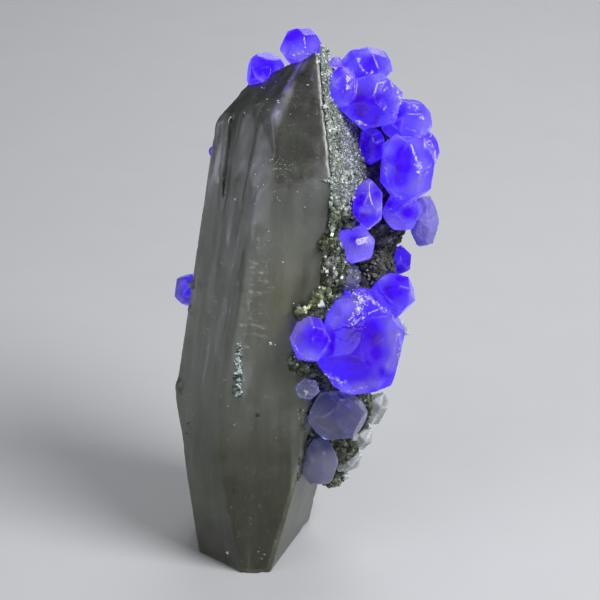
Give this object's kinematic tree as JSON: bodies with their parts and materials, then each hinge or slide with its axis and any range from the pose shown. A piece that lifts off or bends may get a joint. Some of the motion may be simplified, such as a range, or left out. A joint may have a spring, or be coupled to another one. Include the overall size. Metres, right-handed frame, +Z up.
{
  "type": "quartz crystal with fluorite",
  "caption": "Leaning smoky quartz crystal that stands on a small flat base, with violet-blue fluorite crystals set in a granular crust along one side; a mineral display specimen.",
  "frame": {"origin": "on the flat base that the specimen stands on, under the middle of the quartz", "axes": "+Z up along the height, -Y the front that shows the bare quartz face, +X the side with the fluorites"},
  "size_m": [0.0469, 0.0348, 0.0978],
  "materials": {
    "smoky_quartz": "glassy, cloudy and striated",
    "crust": "granular, matt with glints",
    "violet_fluorite": "glassy, clear, strongly coloured",
    "pale_fluorite": "glassy, cloudy",
    "white_quartz": "glassy, milky"
  },
  "bodies": {
    "root": {"quartz_crystal": "smoky_quartz", "matrix_crust": "crust", "crust_patch_mid": "crust", "crust_patch_under_big": "crust", "crust_patch_edge": "crust", "crust_patch_low": "crust", "fluorite_big_pair": "violet_fluorite", "fluorite_crown_cluster": "violet_fluorite", "fluorite_mid_oval": "violet_fluorite", "fluorite_mid_square": "violet_fluorite", "fluorite_mid_pair": "violet_fluorite", "fluorite_right": "violet_fluorite", "fluorite_tip": "violet_fluorite", "fluorite_shoulder": "violet_fluorite", "fluorite_left_edge": "violet_fluorite", "fluorite_left_speck": "violet_fluorite", "fluorite_tip_bit": "violet_fluorite", "fluorite_recess": "violet_fluorite", "fluorite_back_small": "violet_fluorite", "fluorite_pale": "pale_fluorite", "fluorite_bead": "pale_fluorite", "fluorite_pale_low": "pale_fluorite", "fluorite_grey_mass": "pale_fluorite", "quartz_small_right": "white_quartz", "quartz_small_upper": "white_quartz", "quartz_small_mid": "white_quartz", "quartz_small_bead": "white_quartz", "quartz_small_low": "white_quartz", "quartz_small_tiny": "white_quartz"}
  },
  "joints": []
}
